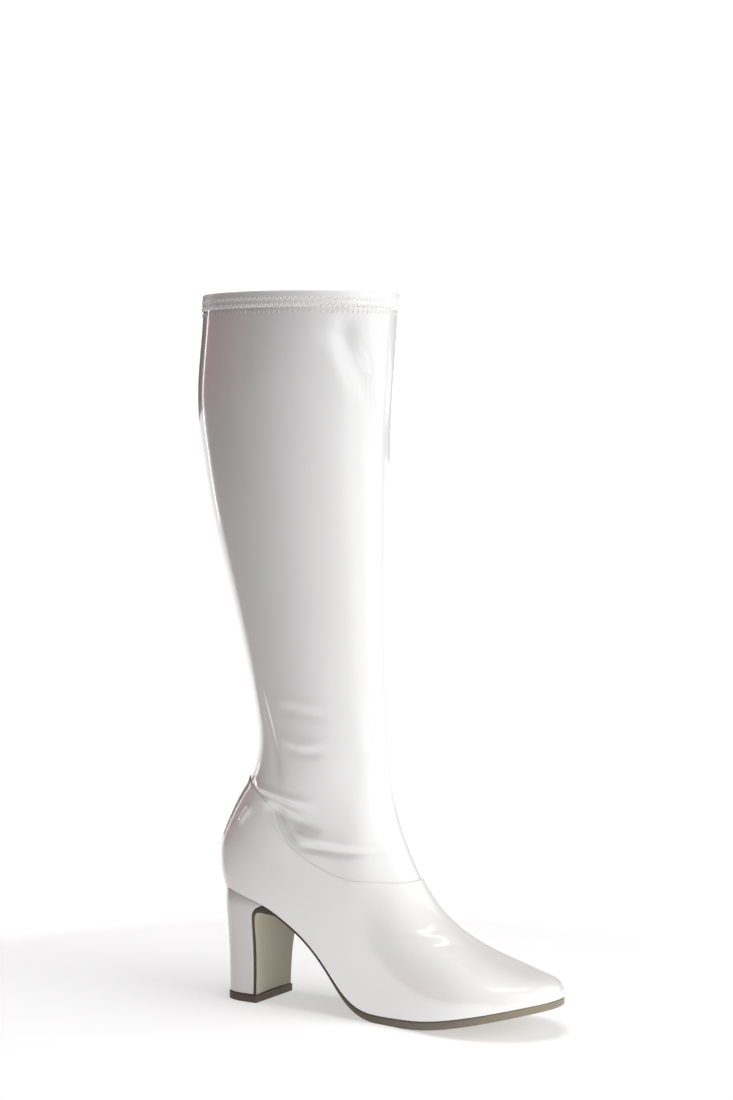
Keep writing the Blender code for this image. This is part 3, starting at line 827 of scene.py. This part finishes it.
def heel_height(rise, x):
    """Height of a level of the block: flat at its base and following the seat at its top."""
    base = TOP_PIECE_THICKNESS + GAP
    return base + rise * (feather_height(x) - GAP - base)


def squared(half, share):
    """Half breadth of the base's outline, share of the way from its back to its full breadth."""
    return half * (1 - (1 - share) ** BASE_SQUARENESS) ** (1 / BASE_SQUARENESS)


def heel_half(rise, share, side):
    """Half breadth of the block, share of the way from its back to its breast."""
    base = BASE_BREADTH / 2
    seat = float(feather_half(BREAST_LENGTH, side))
    square = squared(base + heel_form["breadth"](rise) * (seat - base), share)
    seat_form = heel_form["seat"](rise)
    return (1 - seat_form) * square + seat_form * feather_half(share * BREAST_LENGTH, side)


def hollow(across):
    """How far the breast falls back, across from one edge, -1, to the other, 1."""
    return BREAST_HOLLOW * (1 - across**2)


def heel_shares():
    """Shares of the way from the heel's back to its breast, closer together at the back."""
    return 1 - np.cos(np.linspace(0, math.pi / 2, HEEL_TURNS + 1))


def heel_ring(rise, inset, lift=0.0):
    """One level of the heel block, drawn in by inset and moved up by lift."""
    shares = heel_shares()
    back = HEEL_SETBACK * (1 - heel_form["back"](rise)) + inset
    front = float(heel_front(rise))
    along = back + (front - back) * shares
    outer, inner = [
        np.stack([along, side * np.maximum(heel_half(rise, shares, side) - inset, 0)], -1)
        for side in (-1, 1)
    ]
    places = np.linspace(-1, 1, ACROSS)[1:-1]
    across = np.interp(places, (-1, 1), (outer[-1][1], inner[-1][1]))
    breast = np.stack([front - hollow(places), across], -1)
    ring = np.concatenate([outer, breast, inner[:0:-1]])
    return np.column_stack([ring[:, 0] - ORIGIN, ring[:, 1], heel_height(rise, ring[:, 0]) + lift])


def add_tube(name, rings, finish):
    """A piece from rings of points, closed at both ends."""
    rings = np.array(rings)
    size = rings.shape[1]
    caps = [range(size)[::-1], range((len(rings) - 1) * size, len(rings) * size)]
    return add_piece(name, rings, tube_faces(len(rings), size), [finish], caps=caps)


def make_heel_block():
    """The block with the edges of its cover turned in at the base and at the seat."""
    low, high = HEEL_PLAIN
    turns = np.linspace(0, math.pi / 2, CORNER_ROWS)
    rings = []
    for turned in turns[:-1]:
        inset, lift = HEEL_ROUND * (1 - math.sin(turned)), HEEL_ROUND * (1 - math.cos(turned))
        rings.append(heel_ring(0, inset, lift))
    rings += [heel_ring(rise, 0) for rise in np.linspace(low, high, HEEL_ROWS)]
    for turned in turns:
        rise = high + (1 - high) * math.sin(turned)
        rings.append(heel_ring(rise, HEEL_ROUND * (1 - math.cos(turned))))
    made = add_tube("heel_cover", rings, heel_patent_painted_shade())
    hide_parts("heel_block")


def make_top_piece():
    """The slab under the heel, with its edges eased."""
    shares = heel_shares()
    side = np.stack([shares * BASE_DEPTH - BASE_DEPTH / 2, -squared(BASE_BREADTH / 2, shares)], -1)
    outline = np.concatenate([side, side[:0:-1] * (1, -1)])
    bends = np.array(TOP_PIECE_BENDS) * math.pi / 2
    insets, rises = TOP_PIECE_ROUND * (1 - np.sin(bends)), TOP_PIECE_ROUND * (1 - np.cos(bends))
    heights = np.concatenate([rises, TOP_PIECE_THICKNESS - rises[::-1]])
    scales = 1 + 2 * (TOP_PIECE_EDGE - np.concatenate([insets, insets[::-1]])) / BASE_BREADTH
    rings = [
        np.column_stack([outline * scale, np.full(len(outline), height)])
        for scale, height in zip(scales, heights)
    ]
    made = add_tube("top_piece", rings, top_piece_rubber())
    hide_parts("heel_top_piece")


def section_plan():
    """The places of a section of the sole, as (across, share of the corner's inset, height share
    of the corner at the bottom, height share of the corner at the top)."""
    bends = np.linspace(0, math.pi / 2, CORNER_ROWS)
    low = [(a, 1.0, 0.0, None) for a in np.linspace(-1, 1, ACROSS)]
    rising = [(1, 1 - math.sin(b), 1 - math.cos(b), None) for b in bends[1:]]
    closing = [(1, 1 - math.cos(b), None, 1 - math.sin(b)) for b in bends]
    high = [(a, 1.0, None, 0.0) for a in np.linspace(1, -1, ACROSS)[1:]]
    falling = [(-1, 1 - math.sin(b), None, 1 - math.cos(b)) for b in bends[1:]]
    opening = [(-1, 1 - math.cos(b), 1 - math.sin(b), None) for b in bends[:-1]]
    return low + rising + closing + high + falling + opening


SECTION = section_plan()


def sole_section(high, low, half, corner):
    """A section of the outsole with rounded corners. high and low give the places of the upper
    and lower faces, and half the half breadth, for a place across and an inset from the edge."""
    ring = []
    for across, inset_share, from_low, from_high in SECTION:
        side = -1 if across < 0 else 1
        inset = corner * inset_share
        top = np.array(high(across, inset))
        bottom = np.array(low(across, inset))
        thickness = np.linalg.norm(top - bottom)
        if from_high is None:
            place = bottom + (top - bottom) * corner * from_low / thickness
        else:
            place = top + (bottom - top) * corner * from_high / thickness
        ring.append((place[0] - ORIGIN, across * half(side, inset), place[1]))
    return ring


def flap_section(rise, slope, depth):
    """A section of the sole's tail, which lies on the heel's breast."""
    front = float(heel_front(rise))
    turned = math.radians(slope)
    reach = FLAP_THICKNESS * depth
    fade = 1 - float(ease(rise, FLAP_FLAT, 1))

    def high(across, _):
        return front + GAP - fade * hollow(across), float(heel_height(rise, front))

    def low(across, _):
        x, z = high(across, 0)
        return x + reach * math.cos(turned), z - reach * math.sin(turned)

    def half(side, inset):
        return float(heel_half(rise, 1.0, side)) - inset

    return sole_section(high, low, half, FLAP_ROUND)


def forepart_section(turn):
    """A section of the outsole under the foot, at a turn of the feather line in degrees."""
    x = FOOT_LENGTH * (1 - math.cos(math.radians(turn))) / 2
    edge = SOLE_EDGE * float(ease(x / FOOT_LENGTH, *EDGE_RUN))
    toe = float(ease(turn, *TOE_TURNS))
    fillet = ARCH_FILLET * (1 - float(ease(x, BREAST_LENGTH, BREAST_LENGTH + ARCH_RUN)))
    top = float(feather_height(x)) - GAP
    bottom = max(float(sole_line(x)) - fillet, 0.0)
    corner = min(SOLE_ROUND, THIN_ROUND * (top - bottom))

    def high(_, inset):
        return x + (edge - inset) * toe, top

    def low(_, inset):
        return x + (edge - inset) * toe, bottom

    def half(side, inset):
        return max(float(feather_half(x, side)) + (edge - inset) * math.sin(math.radians(turn)), 0)

    return sole_section(high, low, half, corner)


def make_outsole():
    """The sole from the toe to the heel, and its tail down the heel's breast."""
    slope = curve(FLAP["rise"], FLAP["slope"])
    depth = curve(FLAP["rise"], FLAP["depth"])
    rises = np.linspace(0, FLAP["rise"][-1], FLAP_ROWS)
    rings = [flap_section(rise, float(slope(rise)), float(depth(rise))) for rise in rises]
    start = float(turn_at(BREAST_LENGTH + GAP))
    rings += [forepart_section(turn) for turn in np.linspace(start, TOE_TURNS[1], FOREPART_ROWS)]
    rings = np.array(rings)
    size = rings.shape[1]
    column = np.tile(np.arange(size), len(rings) - 1)
    row = np.repeat(np.arange(len(rings) - 1), size)
    edge, bottom, breast = 0, 1, 2
    indices = np.where(column < ACROSS - 1, np.where(row < len(rises), breast, bottom), edge)
    faces = tube_faces(len(rings), size)
    finishes = [sole_edge(), sole_bottom(), breast_leather()]
    caps = [range(size)[::-1]]
    made = add_piece("outsole_fine", rings, faces, finishes, indices, caps, weld=True)
    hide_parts("outsole")


class Finish:
    """A material under construction: its shader, and helpers that add nodes to it."""

    def __init__(self, name, colour, roughness, **settings):
        self.material = bpy.data.materials.new(name)
        self.material.use_nodes = True
        self.tree = self.material.node_tree
        self.shader = self.tree.nodes["Principled BSDF"]
        self.set("Base Color", (*colour, 1))
        self.set("Roughness", roughness)
        for socket, value in settings.items():
            self.set(socket.replace("_", " "), value)
        self.material.diffuse_color = (*colour, 1)
        self.place = self.node("ShaderNodeTexCoord").outputs["Object"]

    def set(self, socket, value):
        self.shader.inputs[socket].default_value = value

    def node(self, kind, **values):
        made = self.tree.nodes.new(kind)
        for name, value in values.items():
            setattr(made, name, value)
        return made

    def join(self, source, target):
        self.tree.links.new(source, target)

    def noise(self, scale, detail, stretch=(1, 1, 1)):
        """Noise in metres of the object's own frame. stretch squeezes it along an axis."""
        mapping = self.node("ShaderNodeMapping")
        mapping.inputs["Scale"].default_value = stretch
        self.join(self.place, mapping.inputs["Vector"])
        made = self.node("ShaderNodeTexNoise")
        made.inputs["Scale"].default_value = scale
        made.inputs["Detail"].default_value = detail
        self.join(mapping.outputs["Vector"], made.inputs["Vector"])
        return made.outputs["Fac"]

    def colours(self, factor, first, last, middle=()):
        """Base colours from first to last as the factor rises from 0 to 1. middle holds the
        (factor, colour) tones between them."""
        ramp = self.node("ShaderNodeValToRGB")
        tones = ramp.color_ramp.elements
        tones[0].color = (*first, 1)
        tones[1].color = (*last, 1)
        for place, colour in middle:
            tones.new(place).color = (*colour, 1)
        self.join(factor, ramp.inputs["Fac"])
        self.join(ramp.outputs["Color"], self.shader.inputs["Base Color"])

    def range(self, source, *limits):
        """The source's first two limits mapped onto 0 and 1, or onto the next two."""
        made = self.node("ShaderNodeMapRange")
        for socket, value in zip(("From Min", "From Max", "To Min", "To Max"), limits):
            made.inputs[socket].default_value = value
        self.join(source, made.inputs["Value"])
        return made.outputs["Result"]

    def axis(self, name):
        """The object's own X, Y or Z, in metres."""
        parts = self.node("ShaderNodeSeparateXYZ")
        self.join(self.place, parts.inputs["Vector"])
        return parts.outputs[name]

    def bump(self, *layers):
        """Bumps from (height, strength, distance), each laid on the one before, and their normal."""
        normal = None
        for height, strength, distance in layers:
            made = self.node("ShaderNodeBump")
            made.inputs["Strength"].default_value = strength
            made.inputs["Distance"].default_value = distance
            self.join(height, made.inputs["Height"])
            if normal is not None:
                self.join(normal, made.inputs["Normal"])
            normal = made.outputs["Normal"]
        self.join(normal, self.shader.inputs["Normal"])
        return normal

    def grain(self, scale, detail, strength, stretch=(1, 1, 1)):
        """One fine bump all over."""
        self.bump((self.noise(scale, detail, stretch), strength, GRAIN_DEPTH))


def gloss_finish(name, low, high, wave, peel, haze=0.035):
    """White patent: a clear coat over a pigmented base, with slow waves and fine orange peel."""
    made = Finish(name, high, 0.24, Coat_Weight=1.0, Coat_Roughness=haze, Coat_IOR=1.75, IOR=1.5)
    made.colours(made.noise(9.0, 1.0), low, high)
    made.join(made.range(made.noise(60.0, 1.0), 0.3, 0.7, 0.24, 0.27), made.shader.inputs["Roughness"])
    normal = made.bump((made.noise(24.0, 0.0), wave, 0.001), (made.noise(500.0, 1.0), peel, 0.00005))
    made.join(normal, made.shader.inputs["Coat Normal"])
    return made.material


def patent_white():
    return gloss_finish("patent_white", (0.72, 0.72, 0.715), (0.75, 0.75, 0.74), 0.015, 0.02)


def stretch_patent():
    return gloss_finish("stretch_patent", (0.72, 0.72, 0.72), (0.75, 0.75, 0.745), 0.02, 0.02)


def hem_patent_painted_light():
    """The hem, puckered and dulled by its stitches, with painted light: its base is a little lighter
    than the shaft's patent.
    """
    return gloss_finish("hem_patent_painted_light", (0.77, 0.77, 0.77), (0.80, 0.80, 0.795), 0.03, 0.1, haze=0.4)


# Painted shade: the heel's cover is a darker copy of the upper's white patent
def heel_patent_painted_shade():
    return gloss_finish("heel_patent_painted_shade", (0.58, 0.565, 0.57), (0.60, 0.59, 0.59), 0.015, 0.02)


def lining_cloth():
    """Brushed knit inside the boot."""
    made = Finish("lining_cloth", (0.74, 0.73, 0.70), 0.9, Sheen_Weight=0.25)
    made.colours(made.noise(25.0, 3.0), (0.68, 0.67, 0.64), (0.78, 0.77, 0.74))
    made.grain(1500.0, 2.0, 0.35, stretch=(1, 1, 0.6))
    return made.material


def thread():
    made = Finish("hem_thread", (0.93, 0.93, 0.92), 0.5, Sheen_Weight=0.3)
    made.bump((made.noise(4000.0, 1.0), 0.4, 0.00008))
    return made.material


def sole_edge():
    """Edge of the sole, darker towards the shank: near black there, brown at the ball, lighter towards
    the toe.
    """
    made = Finish("sole_edge", (0.05, 0.035, 0.022), 0.42)
    along = made.range(made.axis("X"), 0.02, 0.22)
    middle = [
        (0.30, (0.065, 0.050, 0.034)),
        (0.50, (0.13, 0.11, 0.082)),
        (0.80, (0.17, 0.148, 0.112)),
    ]
    made.colours(along, (0.050, 0.036, 0.024), (0.24, 0.21, 0.15), middle)
    made.grain(300.0, 3.0, 0.35, stretch=(0.15, 0.15, 4.0))
    return made.material


def sole_bottom():
    """Tan underside with a fine grain."""
    made = Finish("sole_bottom", (0.30, 0.25, 0.18), 0.6)
    made.colours(made.noise(30.0, 4.0), (0.24, 0.20, 0.14), (0.33, 0.28, 0.20))
    made.grain(900.0, 3.0, 0.3)
    return made.material


def breast_leather():
    """Olive beige tail of the sole, with painted shade that darkens it from its outer edge to its
    inner one.
    """
    made = Finish("breast_leather", (0.33, 0.31, 0.20), 0.45)
    # Painted shade: the colour runs from light at the outer edge to dark at the inner edge
    across = made.range(made.axis("Y"), -BASE_BREADTH / 2, BASE_BREADTH / 2)
    made.colours(across, (0.47, 0.44, 0.34), (0.26, 0.235, 0.17), [(0.35, (0.38, 0.35, 0.26))])
    made.grain(700.0, 3.0, 0.2)
    return made.material


def top_piece_rubber():
    made = Finish("top_piece_rubber", (0.075, 0.052, 0.038), 0.5)
    made.colours(made.noise(120.0, 3.0), (0.062, 0.042, 0.031), (0.09, 0.064, 0.047))
    made.grain(1400.0, 3.0, 0.35)
    return made.material


def insole_sock():
    made = Finish("insole_sock", (0.62, 0.60, 0.56), 0.75)
    made.colours(made.noise(40.0, 3.0), (0.56, 0.54, 0.50), (0.66, 0.64, 0.60))
    made.grain(1100.0, 3.0, 0.3)
    return made.material


def dress_insole():
    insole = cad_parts["insole"]
    insole.data.materials.clear()
    insole.data.materials.append(insole_sock())


def make_camera():
    turn, tilt = math.radians(CAMERA_TURN), math.radians(CAMERA_TILT)
    data = bpy.data.cameras.new("photo_camera")
    data.sensor_width = SENSOR
    data.lens = SENSOR * FOCAL_LENGTH / PHOTO_HEIGHT
    data.clip_start, data.clip_end = CLIP_RANGE
    camera = bpy.data.objects.new("photo_camera", data)
    camera.location = (
        math.sin(turn) * CAMERA_DISTANCE + math.cos(turn) * CAMERA_ASIDE,
        -math.cos(turn) * CAMERA_DISTANCE + math.sin(turn) * CAMERA_ASIDE,
        CAMERA_HEIGHT,
    )
    camera.rotation_euler = (math.pi / 2 - tilt, 0, turn)
    bpy.context.scene.collection.objects.link(camera)
    bpy.context.scene.camera = camera


def from_camera(bearing, distance, height):
    """A place at a bearing in degrees round the boot, 0 at the camera and rising to its right."""
    angle = math.radians(CAMERA_TURN + bearing)
    return FOOT_LENGTH / 4 + distance * math.sin(angle), -distance * math.cos(angle), height


def add_light(name, box):
    """A soft box from a row of its table."""
    data = bpy.data.lights.new(name, "AREA")
    data.shape = "RECTANGLE"
    data.size = box["width"]
    data.size_y = box["tall"]
    data.energy = box["power"]
    light = bpy.data.objects.new(name, data)
    place = from_camera(box["bearing"], box["distance"], box["height"])
    target = from_camera(0, 0, box["aim"])
    x, y, z = [b - a for a, b in zip(place, target)]
    light.location = place
    light.rotation_euler = (math.atan2(math.hypot(x, y), -z), 0, math.atan2(y, x) - math.pi / 2)
    light.visible_camera = False
    light.visible_diffuse = bool(box["lights"])
    light.visible_glossy = not box["lights"]
    bpy.context.scene.collection.objects.link(light)


def make_lights():
    for number, box in enumerate(rows_of(LIGHTS)):
        add_light(f"soft_box_{number}", box)


def vector_math(tree, operation, *sources):
    """A node of vector arithmetic. sources: each another node's output or a fixed vector."""
    made = tree.nodes.new("ShaderNodeVectorMath")
    made.operation = operation
    for socket, source in zip(made.inputs, sources):
        if isinstance(source, bpy.types.NodeSocket):
            tree.links.new(source, socket)
        else:
            socket.default_value = source
    return made


def glow(tree, direction, row):
    """A colour that fills the directions near one of them and fades out, from a row of its table."""
    angle, rise = math.radians(CAMERA_TURN + row["bearing"]), math.radians(row["rise"])
    flat = math.cos(rise)
    towards = (math.sin(angle) * flat, -math.cos(angle) * flat, math.sin(rise))
    fade = tree.nodes.new("ShaderNodeMapRange")
    fade.interpolation_type = "SMOOTHSTEP"
    fade.inputs["From Min"].default_value = math.cos(math.radians(row["gone"]))
    fade.inputs["From Max"].default_value = math.cos(math.radians(row["full"]))
    product = vector_math(tree, "DOT_PRODUCT", direction, towards)
    tree.links.new(product.outputs["Value"], fade.inputs["Value"])
    scaled = vector_math(tree, "SCALE", (row["red"], row["green"], row["blue"]))
    tree.links.new(fade.outputs["Result"], scaled.inputs["Scale"])
    return scaled.outputs["Vector"]


def glows(tree, direction, columns):
    """All the glows of a table added together."""
    total, *others = [glow(tree, direction, row) for row in rows_of(columns)]
    for other in others:
        total = vector_math(tree, "ADD", total, other).outputs["Vector"]
    return total


def make_world():
    """A pale studio: bright overhead, on the right and behind the boot, and dim on the left."""
    world = bpy.data.worlds.new("studio")
    bpy.context.scene.world = world
    world.use_nodes = True
    tree = world.node_tree
    direction = tree.nodes.new("ShaderNodeTexCoord").outputs["Generated"]
    tree.links.new(glows(tree, direction, SKY), tree.nodes["Background"].inputs["Color"])


def make_floor():
    """A wide pale floor that runs out to the horizon. It glows round the boot, behind it and on
    the right, and is dim on the left."""
    made = Finish("studio_floor", (FLOOR_TONE, FLOOR_TONE, FLOOR_TONE), 0.85)
    apart = vector_math(made.tree, "SUBTRACT", made.place, (*FLOOR_MIDDLE, 0)).outputs["Vector"]
    reach = vector_math(made.tree, "LENGTH", apart)
    unit = vector_math(made.tree, "NORMALIZE", apart)
    # The mix node's inputs 6 and 7 are its two colours, and its output 2 is the colour between
    blend = made.node("ShaderNodeMix", data_type="RGBA")
    made.join(made.range(reach.outputs["Value"], *FLOOR_FADE), blend.inputs[0])
    blend.inputs[6].default_value = (FLOOR_GLOW, FLOOR_GLOW, FLOOR_GLOW, 1)
    made.join(glows(made.tree, unit.outputs["Vector"], FAR_FLOOR), blend.inputs[7])
    made.join(blend.outputs[2], made.shader.inputs["Emission Color"])
    made.set("Emission Strength", 1.0)
    mesh = bpy.data.meshes.new("studio_floor")
    angle = np.arange(FLOOR_CORNERS) * 2 * math.pi / FLOOR_CORNERS
    corners = [(FLOOR_RADIUS * math.cos(a), FLOOR_RADIUS * math.sin(a), 0) for a in angle]
    mesh.from_pydata(corners, [], [list(range(FLOOR_CORNERS))])
    mesh.materials.append(made.material)
    floor = bpy.data.objects.new("studio_floor", mesh)
    bpy.context.scene.collection.objects.link(floor)


make_camera()
make_upper()
make_shaft()
make_stitches()
make_heel_block()
make_top_piece()
make_outsole()
dress_insole()
make_floor()
make_lights()
make_world()
bpy.context.scene.view_settings.view_transform = "Standard"
